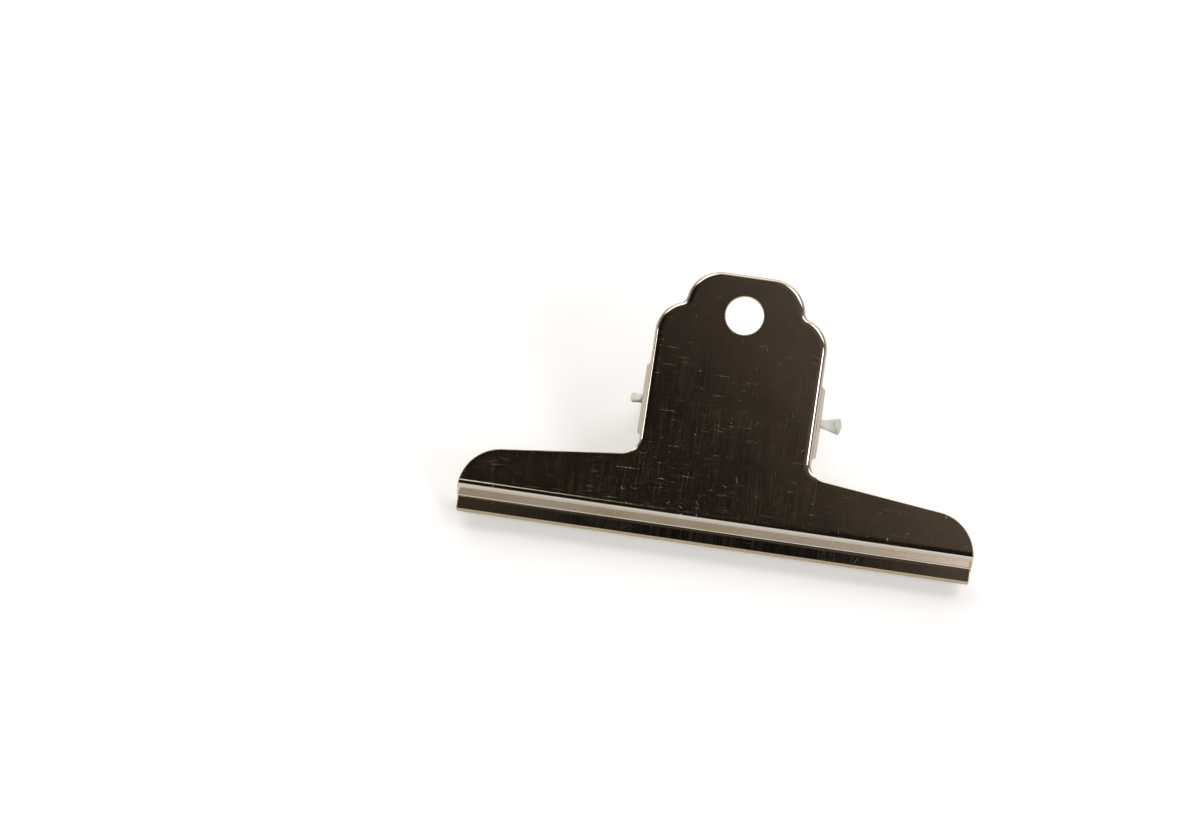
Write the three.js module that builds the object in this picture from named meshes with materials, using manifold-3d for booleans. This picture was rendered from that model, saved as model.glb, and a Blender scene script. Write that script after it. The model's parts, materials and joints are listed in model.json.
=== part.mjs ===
// Sprung letter clip of nickel-plated sheet steel: two T-shaped plates on one pivot pin,
// pushed apart at their tongues by a double torsion spring, so that their lips grip paper.
//
// Units are millimetres and degrees. The clip lies on the flat back of its rear plate.
// X runs along the jaw, Y from the lips to the tongues, Z up.
// The origin is on the rear plate's back face, straight below the pivot pin.
//
// A plate is drawn in its own coordinates: x along the jaw, s from the fold line towards
// the tongue, and d inwards from the plate's flat outer face.

import * as THREE from 'three';
import { mergeVertices } from 'three/addons/utils/BufferGeometryUtils.js';
import Module from 'manifold-3d';

const wasm = await Module();
wasm.setup();

// Whole clip
const jawWidth = 125;
const sheet = 0.8;
const leanAngle = 17;          // each plate leans this far from the paper plane
const foldOffset = 5.3;        // fold line to paper plane, with the jaws shut
const pinReach = 30.6;         // fold line to pin, measured along the paper plane

// Flat panel
const plateHeight = 59.7;      // fold line to the top of the tongue
const tongueWidth = 41.7;
const wingRootHeight = 13.25;  // wing's upper edge, carried on to the tongue's side
const wingTipRadius = 10.5;
const wingTipDrop = 0.8;       // centre of the wing tip's arc, below the fold line
const rootFillet = 4.2;        // between wing and tongue
const shoulderRadius = 7.8;    // lower lobe of the tongue's outline
const shoulderHeight = 43.6;   // fold line to the centre of that lobe
const crownRadius = 8.4;       // upper lobe
const crownFlat = 12.2;        // straight top edge between the two upper lobes
const notchRadius = 1.9;       // inside corner between the lobes
const hangHoleDiameter = 9.2;
const hangHoleDrop = 9.9;      // top of the tongue to the middle of the hang hole

// Jaw
const foldRadius = 2.0;        // outer face of the fold
const stepFall = 1.35;         // how far the step runs towards the mouth
const stepRadius = 0.6;        // outer face, where the step turns into the lip
const lipLength = 3.5;
const lipInset = 0.3;          // the lip is this much shorter at each end
const lipGap = 0.3;            // between the two lips, with the jaws shut

// Rolled rim and pivot ears
const rimRadius = 1.4;         // outer face of the rim's bend
const rimDepth = 2.9;
const earRadius = 6.1;         // ear's round end, about the pin
const earTongueRoot = 7.9;     // from the pin to where the ear's upper edge leaves the rim
const earRootDepth = 5.2;
const earBlend = 2.8;          // length of the curve from the ear's root to the rim
const joggleStart = 4.0;       // the front ears step outwards between these two depths
const joggleEnd = 6.4;
const rimOverlap = 0.3;        // how far the rim runs into the flat panel it grows from
const rimLeastBend = 9;        // degrees; the rim runs out where it is bent less than this
const rimLeastWall = 0.05;
const earClearance = 0.12;     // between a front ear and the rear ear inside it

// Pivot pin, with both ends squashed into fans
const pinDiameter = 2.0;
const pinClearance = 0.08;     // radial, in the ears
const fanGap = 0.25;           // between an ear and the fan
const fanLengthLeft = 3.0;
const fanLengthRight = 4.9;
const fanTurnLeft = -21;       // flat side, turned about the pin from level
const fanTurnRight = 36;
const fanSpreadLeft = 0.5;     // 1 widens the fan evenly along its length, less widens it sooner
const fanSpreadRight = 1;
const fanWidth = 4.2;
const fanThickness = 0.9;
const fanBulge = 0.6;          // roundness of the fan's outer edge
const fanThinning = 0.45;      // share of the fan's length in which the round pin turns flat
const fanSquareness = 0.45;    // 0 leaves the flat's section an ellipse

// Double torsion spring
const wireDiameter = 1.3;
const coilRadius = 2.75;       // to the middle of the wire
const coilPitch = 1.8;
const fullTurns = 4;           // in each coil, apart from the part turn between the legs
const coilInner = 3.5;         // middle of the clip to the inner end of each coil
const bridgeReach = 43.4;      // fold line to the wire that crosses the front tongue
const footReach = 47.4;        // fold line to the knee of each leg on the rear tongue
const footLength = 3.4;
const footTurn = 39;           // the foot points this far outwards
const wireBend = 1.5;          // to the middle of the wire
const springSeat = 0.3;        // clearance of the wire over the plates it pushes on

// Fineness of the surfaces
const arcStep = THREE.MathUtils.degToRad(11);
const weldDistance = 1e-5;
const holeSides = 40;
const boreSides = 32;
const pinSides = 24;
const fanRows = 6;
const rimBendRows = 4;
const edgeRows = 4;
const wireSides = 5;
const wireStepsPerTurn = 8;
const wireBendSteps = 3;

// Derived places
const lean = THREE.MathUtils.degToRad(leanAngle);
const jawHalf = jawWidth / 2;
const tongueHalf = tongueWidth / 2;
const earStep = sheet + earClearance;
const pinRadius = pinDiameter / 2;

// From the paper plane's coordinates (u away from the mouth, h off the plane) to a plate's
function fromPaperPlane(u, h) {
  const rise = h - foldOffset;
  return new THREE.Vector2(
    u * Math.cos(lean) + rise * Math.sin(lean),
    u * Math.sin(lean) - rise * Math.cos(lean));
}

const pinAt = fromPaperPlane(pinReach, 0);

// Solids in and out of the boolean library
function toSolid(geometry) {
  const bare = geometry.clone();
  bare.deleteAttribute('normal');
  bare.deleteAttribute('uv');
  const merged = mergeVertices(bare, weldDistance);
  return new wasm.Manifold(new wasm.Mesh({
    numProp: 3,
    vertProperties: new Float32Array(merged.attributes.position.array),
    triVerts: new Uint32Array(merged.index.array),
  }));
}

function toGeometry(solid) {
  const mesh = solid.getMesh();
  const geometry = new THREE.BufferGeometry();
  geometry.setAttribute('position', new THREE.BufferAttribute(new Float32Array(mesh.vertProperties), 3));
  geometry.setIndex(new THREE.BufferAttribute(new Uint32Array(mesh.triVerts), 1));
  geometry.computeVertexNormals();
  return geometry;
}

// A prism on an outline in x and s, from depth low to depth high
function planPrism(outline, low, high) {
  const geometry = new THREE.ExtrudeGeometry(new THREE.Shape(outline), {
    depth: high - low,
    bevelEnabled: false,
  });
  return geometry.translate(0, 0, low);
}

// A prism along the jaw on an outline in s and d
function jawPrism(outline, halfLength) {
  const geometry = new THREE.ExtrudeGeometry(new THREE.Shape(outline), {
    depth: 2 * halfLength,
    bevelEnabled: false,
  });
  const turn = new THREE.Matrix4().makeBasis(
    new THREE.Vector3(0, 1, 0), new THREE.Vector3(0, 0, 1), new THREE.Vector3(1, 0, 0));
  return geometry.applyMatrix4(turn).translate(-halfLength, 0, 0);
}

// A closed body through rings of points, each ring a closed loop of the same length
function loft(rings) {
  const count = rings[0].length;
  const positions = rings.flat().flatMap((point) => [point.x, point.y, point.z]);
  const triangles = [];
  for (let ring = 0; ring + 1 < rings.length; ring += 1) {
    for (let side = 0; side < count; side += 1) {
      const a = ring * count + side;
      const b = ring * count + (side + 1) % count;
      triangles.push(a, b, b + count, a, b + count, a + count);
    }
  }
  const addCap = (start, flip) => {
    const loop = rings[start / count];
    const origin = loop[0];
    const along = loop[1].clone().sub(origin).normalize();
    const normal = new THREE.Vector3();
    loop.forEach((point, index) => {
      const next = loop[(index + 1) % count];
      normal.add(point.clone().sub(origin).cross(next.clone().sub(origin)));
    });
    const across = normal.normalize().clone().cross(along);
    const flat = loop.map((point) => {
      const offset = point.clone().sub(origin);
      return new THREE.Vector2(offset.dot(along), offset.dot(across));
    });
    THREE.ShapeUtils.triangulateShape(flat, []).forEach(([a, b, c]) => {
      triangles.push(...(flip ? [start + a, start + c, start + b] : [start + a, start + b, start + c]));
    });
  };
  addCap(0, true);
  addCap((rings.length - 1) * count, false);
  const geometry = new THREE.BufferGeometry();
  geometry.setAttribute('position', new THREE.Float32BufferAttribute(positions, 3));
  geometry.setIndex(signedVolume(positions, triangles) < 0 ? triangles.reverse() : triangles);
  geometry.computeVertexNormals();
  return geometry;
}

function signedVolume(positions, triangles) {
  const corner = (index) => new THREE.Vector3().fromArray(positions, 3 * index);
  let volume = 0;
  for (let first = 0; first < triangles.length; first += 3) {
    const [a, b, c] = triangles.slice(first, first + 3).map(corner);
    volume += a.dot(b.cross(c)) / 6;
  }
  return volume;
}

// Points and outward normals along an arc, as {point, normal}; side is 1 on a hump, -1 in a hollow
function arc(centre, radius, fromAngle, toAngle, side) {
  const steps = Math.ceil(Math.abs(toAngle - fromAngle) / arcStep);
  return Array.from({ length: steps + 1 }, (_, step) => {
    const angle = THREE.MathUtils.lerp(fromAngle, toAngle, step / steps);
    const ray = new THREE.Vector2(Math.cos(angle), Math.sin(angle));
    return {
      point: centre.clone().addScaledVector(ray, radius),
      normal: ray.multiplyScalar(side),
    };
  });
}

const angleTo = (from, to) => Math.atan2(to.y - from.y, to.x - from.x);

// Evenly spaced points between two, without the ends
function between(from, to) {
  return Array.from({ length: edgeRows - 1 }, (_, row) => from.clone().lerp(to, (row + 1) / edgeRows));
}

// Where a line from a point touches a circle; side picks the left or right touch
function touchPoint(from, centre, radius, side) {
  const distance = from.distanceTo(centre);
  const spread = Math.acos(radius / distance);
  const angle = angleTo(centre, from) + side * spread;
  return new THREE.Vector2(centre.x + radius * Math.cos(angle), centre.y + radius * Math.sin(angle));
}

// Right half of the panel's outline, from the jaw's end round to the middle of the top
function halfOutline() {
  const tipCentre = new THREE.Vector2(
    jawHalf - Math.sqrt(wingTipRadius ** 2 - wingTipDrop ** 2), -wingTipDrop);
  const wingRoot = new THREE.Vector2(tongueHalf, wingRootHeight);
  const tipTouch = touchPoint(wingRoot, tipCentre, wingTipRadius, -1);
  const wingTip = arc(tipCentre, wingTipRadius,
    angleTo(tipCentre, new THREE.Vector2(jawHalf, 0)), angleTo(tipCentre, tipTouch), 1);

  const wingSlope = angleTo(wingRoot, tipTouch);
  const filletCorner = Math.PI / 2 - wingSlope;
  const filletReach = rootFillet / Math.tan(filletCorner / 2);
  const filletCentre = new THREE.Vector2(tongueHalf + rootFillet, wingRootHeight + filletReach);
  const fillet = arc(filletCentre, rootFillet, wingSlope - Math.PI / 2, -Math.PI, -1);

  const shoulderCentre = new THREE.Vector2(tongueHalf - shoulderRadius, shoulderHeight);
  const crownCentre = new THREE.Vector2(crownFlat / 2, plateHeight - crownRadius);
  const apart = shoulderCentre.distanceTo(crownCentre);
  const crownReach = crownRadius + notchRadius;
  const shoulderReach = shoulderRadius + notchRadius;
  const cosine = (apart ** 2 + crownReach ** 2 - shoulderReach ** 2) / (2 * apart * crownReach);
  const notchAngle = angleTo(crownCentre, shoulderCentre) + Math.acos(cosine);
  const notchCentre = new THREE.Vector2(
    crownCentre.x + crownReach * Math.cos(notchAngle),
    crownCentre.y + crownReach * Math.sin(notchAngle));
  const shoulder = arc(shoulderCentre, shoulderRadius, 0, angleTo(shoulderCentre, notchCentre), 1);
  const notchFrom = angleTo(notchCentre, shoulderCentre);
  const notchTo = angleTo(notchCentre, crownCentre);
  const notchEnd = notchTo > notchFrom ? notchTo - 2 * Math.PI : notchTo;
  const notch = arc(notchCentre, notchRadius, notchFrom, notchEnd, -1);
  const crown = arc(crownCentre, crownRadius, notchAngle, Math.PI / 2, 1);
  return { wingTip, fillet, shoulder, notch, crown, sideStart: filletCentre.y };
}

// Free edge of the rim and ear along the tongue's straight side, as points (s, depth)
function earEdge(sideStart) {
  const jawRoot = new THREE.Vector2(sideStart, rimRadius);
  const tongueRoot = new THREE.Vector2(pinAt.x + earTongueRoot, earRootDepth);
  const jawTouch = touchPoint(jawRoot, pinAt, earRadius, -1);
  const tongueTouch = touchPoint(tongueRoot, pinAt, earRadius, 1);
  const round = arc(pinAt, earRadius, angleTo(pinAt, jawTouch), angleTo(pinAt, tongueTouch), 1);
  const blend = Array.from({ length: edgeRows + 1 }, (_, row) => {
    const share = row / edgeRows;
    const depth = THREE.MathUtils.lerp(rimDepth, earRootDepth, (1 - share) ** 2);
    return new THREE.Vector2(tongueRoot.x + earBlend * share, depth);
  });
  return [
    jawRoot,
    ...between(jawRoot, jawTouch),
    ...round.map(({ point }) => point),
    ...between(tongueTouch, tongueRoot),
    ...blend,
  ];
}

// Stations of the rim, each with its place on the outline, bend angle and depth
function rimStations() {
  const half = halfOutline();
  const stations = half.fillet.map(({ point, normal }, index) => {
    const bend = (Math.PI / 2) * (index / (half.fillet.length - 1));
    return { point, normal, bend, depth: rimRadius * (1 - Math.cos(bend)) };
  });
  stations.pop();
  const outwards = new THREE.Vector2(1, 0);
  earEdge(half.sideStart).forEach((edge) => {
    stations.push({
      point: new THREE.Vector2(tongueHalf, edge.x),
      normal: outwards.clone(),
      bend: Math.PI / 2,
      depth: edge.y,
    });
  });
  [...half.shoulder, ...half.notch.slice(1), ...half.crown.slice(1)].forEach(({ point, normal }) => {
    stations.push({ point, normal, bend: Math.PI / 2, depth: rimDepth });
  });
  return { stations, wingTip: half.wingTip };
}

const mirrored = (station) => ({
  ...station,
  point: new THREE.Vector2(-station.point.x, station.point.y),
  normal: new THREE.Vector2(-station.normal.x, station.normal.y),
});

// Where the flat panel ends and the rim's bend begins
const bendLine = ({ point, normal, bend }) =>
  point.clone().addScaledVector(normal, -rimRadius * Math.sin(bend));

// One ring of the rim: outer face of the bend and wall, free edge, then the inner face back.
// The step is how far the ear has moved outwards at its tip.
function rimRing(station, step) {
  const base = bendLine(station);
  const corner = rimRadius * (1 - Math.cos(station.bend));
  const wall = Math.max(station.depth - corner, rimLeastWall) * Math.sin(station.bend);
  const outer = [];
  for (let row = 0; row < rimBendRows; row += 1) {
    const angle = station.bend * row / rimBendRows;
    outer.push({ out: rimRadius * Math.sin(angle), d: rimRadius * (1 - Math.cos(angle)), angle });
  }
  const joggleRows = [
    Math.min(wall / 3, joggleStart - rimRadius),
    Math.min(2 * wall / 3, joggleEnd - rimRadius),
  ];
  [0, ...joggleRows, wall].forEach((row) => {
    outer.push({
      out: rimRadius * Math.sin(station.bend) + row / Math.tan(station.bend),
      d: corner + row,
      angle: station.bend,
    });
  });
  const inner = outer.map(({ out, d, angle }) => ({
    out: out - sheet * Math.sin(angle),
    d: d + sheet * Math.cos(angle),
  }));
  const section = [{ out: -rimOverlap, d: 0 }, ...outer, ...inner.reverse(), { out: -rimOverlap, d: sheet }];
  return section.map(({ out, d }) => {
    const place = base.clone().addScaledVector(station.normal, out);
    const share = THREE.MathUtils.smoothstep(d, joggleStart, joggleEnd);
    return new THREE.Vector3(place.x + Math.sign(place.x) * step * share, place.y, d);
  });
}

// The bent strip that the panel, step and lip are cut from, as an outline in s and d
function stripOutline() {
  const lipFace = lipGap / 2 + sheet;
  const corners = [
    new THREE.Vector2(plateHeight + foldRadius, 0),
    new THREE.Vector2(0, 0),
    fromPaperPlane(-stepFall, lipFace),
    fromPaperPlane(-stepFall - lipLength, lipFace),
  ];
  const face = [{ point: corners[0], normal: new THREE.Vector2(0, 1) }];
  [foldRadius, stepRadius].forEach((radius, index) => {
    const [before, corner, after] = corners.slice(index, index + 3);
    const arriving = corner.clone().sub(before).normalize();
    const leaving = after.clone().sub(corner).normalize();
    const swing = Math.atan2(arriving.cross(leaving), arriving.dot(leaving));
    const reach = radius * Math.tan(Math.abs(swing) / 2);
    const side = Math.sign(swing);
    const start = corner.clone().addScaledVector(arriving, -reach);
    const sideways = new THREE.Vector2(-arriving.y, arriving.x);
    const centre = start.clone().addScaledVector(sideways, side * radius);
    const from = angleTo(centre, start);
    arc(centre, radius, from, from + swing, side).forEach(({ point, normal }) => {
      face.push({ point, normal: normal.multiplyScalar(-1) });
    });
  });
  const ending = corners[3].clone().sub(corners[2]).normalize();
  const inwards = new THREE.Vector2(ending.y, -ending.x);
  face.push({ point: corners[3], normal: inwards });
  const inner = face.map(({ point, normal }) => {
    const sign = normal.dot(inwards) < 0 ? -1 : 1;
    return point.clone().addScaledVector(normal, sheet * sign);
  });
  return [...face.map(({ point }) => point), ...inner.reverse()];
}

// One stamped plate: panel with step and lip, rolled rim, ears, and the holes
function plateGeometry(step) {
  const { stations, wingTip } = rimStations();
  const stepBottom = fromPaperPlane(-stepFall, lipGap / 2 + sheet).x;
  const right = [
    new THREE.Vector2(jawHalf - lipInset, stepBottom - 2 * lipLength),
    new THREE.Vector2(jawHalf - lipInset, stepBottom),
    new THREE.Vector2(jawHalf, stepBottom + lipInset),
    ...wingTip.map(({ point }) => point),
    ...stations.map(bendLine),
  ];
  const left = right.map(({ x, y }) => new THREE.Vector2(-x, y)).reverse();
  const strip = toSolid(jawPrism(stripOutline(), jawHalf + lipInset));
  const blank = toSolid(planPrism([...right, ...left], -foldOffset, 2 * foldOffset));

  const rolled = stations.filter(({ bend }) => bend > THREE.MathUtils.degToRad(rimLeastBend));
  const around = [...rolled, ...rolled.map(mirrored).reverse()];
  const rim = toSolid(loft(around.map((station) => rimRing(station, step))));

  const holeRadius = hangHoleDiameter / 2;
  const hangHole = new THREE.CylinderGeometry(holeRadius, holeRadius, 4 * sheet, holeSides);
  hangHole.rotateX(Math.PI / 2).translate(0, plateHeight - hangHoleDrop, 0);
  const boreRadius = pinRadius + pinClearance;
  const bore = new THREE.CylinderGeometry(boreRadius, boreRadius, jawWidth, boreSides);
  bore.rotateZ(Math.PI / 2).translate(0, pinAt.x, pinAt.y);

  const plate = strip.intersect(blank).add(rim).subtract(toSolid(hangHole)).subtract(toSolid(bore));
  return toGeometry(plate).translate(0, -pinAt.x, -pinAt.y);
}

// The pin runs along x through the origin here; each end opens into a flat fan
function pinGeometry() {
  const neck = tongueHalf + earStep + fanGap;
  const power = (halfWidth, halfThickness) => 1 - fanSquareness * (1 - halfThickness / halfWidth);
  const squared = (value, exponent) => Math.sign(value) * Math.abs(value) ** exponent;
  const ring = (x, halfWidth, halfThickness, turn, bulge) => {
    const exponent = power(halfWidth, halfThickness);
    return Array.from({ length: pinSides }, (_, side) => {
      const angle = 2 * Math.PI * side / pinSides;
      const across = halfWidth * squared(Math.cos(angle), exponent);
      const through = halfThickness * squared(Math.sin(angle), exponent);
      const push = bulge * (1 - (across / halfWidth) ** 2);
      return new THREE.Vector3(
        x + Math.sign(x) * push,
        across * Math.cos(turn) - through * Math.sin(turn),
        across * Math.sin(turn) + through * Math.cos(turn));
    });
  };
  const fan = (side, length, turnDegrees, spread) => {
    const turn = THREE.MathUtils.degToRad(turnDegrees);
    return Array.from({ length: fanRows + 1 }, (_, row) => {
      const share = row / fanRows;
      const flat = THREE.MathUtils.smoothstep(share, 0, fanThinning);
      return ring(
        side * (neck + (length - fanBulge) * share),
        THREE.MathUtils.lerp(pinRadius, fanWidth / 2, share ** spread),
        THREE.MathUtils.lerp(pinRadius, fanThickness / 2, flat),
        turn,
        fanBulge * share);
    });
  };
  const left = fan(-1, fanLengthLeft, fanTurnLeft, fanSpreadLeft);
  const right = fan(1, fanLengthRight, fanTurnRight, fanSpreadRight);
  return loft([...left.reverse(), ...right]);
}

// Rounds the corners of a path of 3D points
function roundedRoute(points) {
  const route = [points[0]];
  for (let index = 1; index + 1 < points.length; index += 1) {
    const corner = points[index];
    const arriving = corner.clone().sub(points[index - 1]).normalize();
    const leaving = points[index + 1].clone().sub(corner).normalize();
    const swing = arriving.angleTo(leaving);
    const reach = wireBend * Math.tan(swing / 2);
    const start = corner.clone().addScaledVector(arriving, -reach);
    const inwards = leaving.clone().sub(arriving).normalize();
    const centre = corner.clone().addScaledVector(inwards, wireBend / Math.cos(swing / 2));
    const axis = arriving.clone().cross(leaving).normalize();
    for (let step = 0; step <= wireBendSteps; step += 1) {
      const spoke = start.clone().sub(centre).applyAxisAngle(axis, swing * step / wireBendSteps);
      route.push(centre.clone().add(spoke));
    }
  }
  route.push(points[points.length - 1]);
  return route;
}

// Half of the spring's centre line, from a foot on the rear tongue to the middle of the bridge.
// Points are in the rear plate's y and z about the pin, on the side of negative x.
function springHalf() {
  const seat = sheet + springSeat + wireDiameter / 2;
  const rearPlace = (s) => new THREE.Vector2(s - pinAt.x, seat - pinAt.y);
  const knee = rearPlace(footReach);
  const acrossPlates = (place) => {
    const turned = place.clone();
    turned.y = -turned.y;
    return turned.rotateAround(new THREE.Vector2(), 2 * lean);
  };
  const bridge = acrossPlates(rearPlace(bridgeReach));
  const hub = new THREE.Vector2();
  const legTouch = touchPoint(knee, hub, coilRadius, -1);
  const bridgeTouch = touchPoint(bridge, hub, coilRadius, 1);
  const from = angleTo(hub, legTouch);
  let to = angleTo(hub, bridgeTouch);
  while (to > from) {
    to -= 2 * Math.PI;
  }
  const sweep = to - from - 2 * Math.PI * fullTurns;
  const turns = Math.abs(sweep) / (2 * Math.PI);
  const coilOuter = coilInner + coilPitch * turns;
  const place = (x, flat) => new THREE.Vector3(x, flat.x, flat.y);

  const swing = THREE.MathUtils.degToRad(footTurn);
  const toe = place(-coilOuter - footLength * Math.sin(swing),
    knee.clone().add(new THREE.Vector2(footLength * Math.cos(swing), 0)));
  const leg = roundedRoute([toe, place(-coilOuter, knee), place(-coilOuter, legTouch)]);
  const coil = [];
  const coilSteps = Math.round(wireStepsPerTurn * turns);
  for (let step = 0; step <= coilSteps; step += 1) {
    const share = step / coilSteps;
    const angle = from + sweep * share;
    coil.push(new THREE.Vector3(
      THREE.MathUtils.lerp(-coilOuter, -coilInner, share),
      coilRadius * Math.cos(angle), coilRadius * Math.sin(angle)));
  }
  const crossing = roundedRoute(
    [place(-coilInner, bridgeTouch), place(-coilInner, bridge), place(0, bridge)]);
  return [...leg.slice(0, -1), ...coil, ...crossing.slice(1)];
}

function springRoute() {
  const left = springHalf();
  const right = left.slice(0, -1).map(({ x, y, z }) => new THREE.Vector3(-x, y, z)).reverse();
  return [...left, ...right];
}

// A tube along a route, its section carried along without twist
function wireGeometry(route) {
  let across = new THREE.Vector3(0, 1, 0);
  const rings = route.map((point, index) => {
    const before = route[Math.max(index - 1, 0)];
    const after = route[Math.min(index + 1, route.length - 1)];
    const along = after.clone().sub(before).normalize();
    across = across.clone().addScaledVector(along, -across.dot(along)).normalize();
    const up = along.clone().cross(across);
    return Array.from({ length: wireSides }, (_, side) => {
      const angle = 2 * Math.PI * side / wireSides;
      return point.clone()
        .addScaledVector(across, wireDiameter / 2 * Math.cos(angle))
        .addScaledVector(up, wireDiameter / 2 * Math.sin(angle));
    });
  });
  return loft(rings);
}

// Least gap of the wire to itself, between points more than half a turn apart along it
function leastSelfGap(route) {
  const travelled = [0];
  route.slice(1).forEach((point, index) => {
    travelled.push(travelled[index] + point.distanceTo(route[index]));
  });
  let least = Infinity;
  route.forEach((point, index) => {
    route.forEach((other, otherIndex) => {
      if (travelled[otherIndex] - travelled[index] > Math.PI * coilRadius) {
        least = Math.min(least, point.distanceTo(other) - wireDiameter);
      }
    });
  });
  return least;
}

const plateNickel = new THREE.MeshStandardMaterial({ color: 0xb5ac9a, roughness: 0.18, metalness: 1 });
const wireNickel = new THREE.MeshStandardMaterial({ color: 0x9b988f, roughness: 0.35, metalness: 1 });

function named(name, geometry, material) {
  const mesh = new THREE.Mesh(geometry, material);
  mesh.name = name;
  return mesh;
}

// The pivot pin's axis is the middle of this group
const pivot = new THREE.Group();
pivot.position.set(0, 0, pinAt.y);

const rearPlate = named('rear_plate', plateGeometry(0), plateNickel);
pivot.add(rearPlate);

// The front plate is turned over about the tongue's direction, then leaned back from the rear plate
const frontPlate = named('front_plate', plateGeometry(earStep), plateNickel);
frontPlate.rotation.y = Math.PI;
const frontLean = new THREE.Group();
frontLean.rotation.x = 2 * lean;
frontLean.add(frontPlate);
pivot.add(frontLean);

pivot.add(named('pivot_pin', pinGeometry(), wireNickel));

const route = springRoute();
console.log(`torsion_spring least gap to itself ${leastSelfGap(route).toFixed(2)} mm`);
pivot.add(named('torsion_spring', wireGeometry(route), wireNickel));

const clip = new THREE.Group();
clip.add(pivot);

export default clip;
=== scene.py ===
import json
import math

import bmesh
import bpy
import numpy as np
from mathutils import Matrix, Vector
from mathutils.geometry import delaunay_2d_cdt


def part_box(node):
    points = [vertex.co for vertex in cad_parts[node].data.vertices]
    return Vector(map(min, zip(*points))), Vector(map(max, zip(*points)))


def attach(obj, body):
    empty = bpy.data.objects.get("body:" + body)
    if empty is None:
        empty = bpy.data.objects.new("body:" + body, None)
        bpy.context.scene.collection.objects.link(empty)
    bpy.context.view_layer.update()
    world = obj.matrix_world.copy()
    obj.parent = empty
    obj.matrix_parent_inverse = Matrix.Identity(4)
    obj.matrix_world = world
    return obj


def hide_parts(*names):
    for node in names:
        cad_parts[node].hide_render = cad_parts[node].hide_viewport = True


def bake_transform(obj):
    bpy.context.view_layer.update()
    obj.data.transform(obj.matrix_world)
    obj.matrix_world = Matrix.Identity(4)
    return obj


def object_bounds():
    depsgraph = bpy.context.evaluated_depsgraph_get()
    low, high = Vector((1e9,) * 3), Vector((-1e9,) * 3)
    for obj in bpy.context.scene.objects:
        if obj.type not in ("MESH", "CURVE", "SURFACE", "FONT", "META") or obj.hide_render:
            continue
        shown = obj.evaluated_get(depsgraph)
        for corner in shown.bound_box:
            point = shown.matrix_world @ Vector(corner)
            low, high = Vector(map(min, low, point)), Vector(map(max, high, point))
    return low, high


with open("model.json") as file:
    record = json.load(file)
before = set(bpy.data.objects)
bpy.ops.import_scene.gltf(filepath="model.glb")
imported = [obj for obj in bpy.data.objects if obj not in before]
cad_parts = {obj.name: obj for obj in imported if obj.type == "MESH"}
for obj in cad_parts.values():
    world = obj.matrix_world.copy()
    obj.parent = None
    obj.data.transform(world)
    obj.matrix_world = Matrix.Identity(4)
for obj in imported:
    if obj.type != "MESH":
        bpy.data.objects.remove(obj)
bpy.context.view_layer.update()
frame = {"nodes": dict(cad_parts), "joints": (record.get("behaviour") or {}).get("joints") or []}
mm = 0.001
hinge = frame["joints"][0]
print("stage: frame loaded,", len(frame["nodes"]), "nodes")


# Camera, matched to the right-hand clip of the photograph

camera = {
    "lens": 143.85,
    "place": (25.0, -733.7, 919.8),    # mm
    "aim": (-31.86, -3.83, 13.18),
    "roll": 4.73,                      # degrees
    "sees": (0.05, 20),                # m, nearest and farthest
}


def addCamera(values):
    data = bpy.data.cameras.new("camera")
    data.lens = values["lens"]
    data.clip_start, data.clip_end = values["sees"]
    place = Vector(values["place"]) * mm
    back = (place - Vector(values["aim"]) * mm).normalized()
    levelRight = Vector((0, 0, 1)).cross(back).normalized()
    levelUp = back.cross(levelRight)
    roll = math.radians(values["roll"])
    right = levelRight * math.cos(roll) + levelUp * math.sin(roll)
    up = back.cross(right)
    turn = Matrix((right, up, back)).transposed().to_4x4()
    obj = bpy.data.objects.new("camera", data)
    obj.matrix_world = Matrix.Translation(place) @ turn
    bpy.context.scene.collection.objects.link(obj)
    bpy.context.scene.camera = obj


# Shader maths: a value wraps a number socket, and arithmetic on it adds Math nodes

class Value:
    def __init__(self, nodes, socket):
        self.nodes = nodes
        self.socket = socket

    def join(self, operation, first, second):
        made = self.nodes.make("ShaderNodeMath", {"operation": operation}, {0: first, 1: second})
        return Value(self.nodes, made.outputs[0])

    def __add__(self, other):
        return self.join("ADD", self, other)

    def __radd__(self, other):
        return self.join("ADD", other, self)

    def __sub__(self, other):
        return self.join("SUBTRACT", self, other)

    def __rsub__(self, other):
        return self.join("SUBTRACT", other, self)

    def __mul__(self, other):
        return self.join("MULTIPLY", self, other)

    def __rmul__(self, other):
        return self.join("MULTIPLY", other, self)

    def size(self):
        return self.join("ABSOLUTE", self, 0)

    def largest(self, other):
        return self.join("MAXIMUM", self, other)

    def band(self, start, end):
        # 0 up to start, 1 from end on, smooth between
        made = self.nodes.make(
            "ShaderNodeMapRange",
            {"interpolation_type": "SMOOTHSTEP"},
            {"Value": self, "From Min": start, "From Max": end})
        return Value(self.nodes, made.outputs[0])


class Nodes:
    def __init__(self, tree):
        self.tree = tree
        tree.nodes.clear()

    def make(self, kind, settings=None, sockets=None):
        node = self.tree.nodes.new(kind)
        for name, value in (settings or {}).items():
            setattr(node, name, value)
        for name, value in (sockets or {}).items():
            if isinstance(value, Value):
                value = value.socket
            if isinstance(value, bpy.types.NodeSocket):
                self.tree.links.new(value, node.inputs[name])
            else:
                node.inputs[name].default_value = value
        return node

    def value(self, kind, output=0, settings=None, sockets=None):
        return Value(self, self.make(kind, settings, sockets).outputs[output])

    def blendColour(self, factor, first, second):
        # each side is a socket or a plain colour
        first, second = ((*side, 1) if isinstance(side, tuple) else side for side in (first, second))
        made = self.make("ShaderNodeMix", {"data_type": "RGBA"}, {0: factor, 6: first, 7: second})
        return made.outputs[2]


def newMaterial(name):
    material = bpy.data.materials.new(name)
    material.use_nodes = True
    return material, Nodes(material.node_tree)


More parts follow.
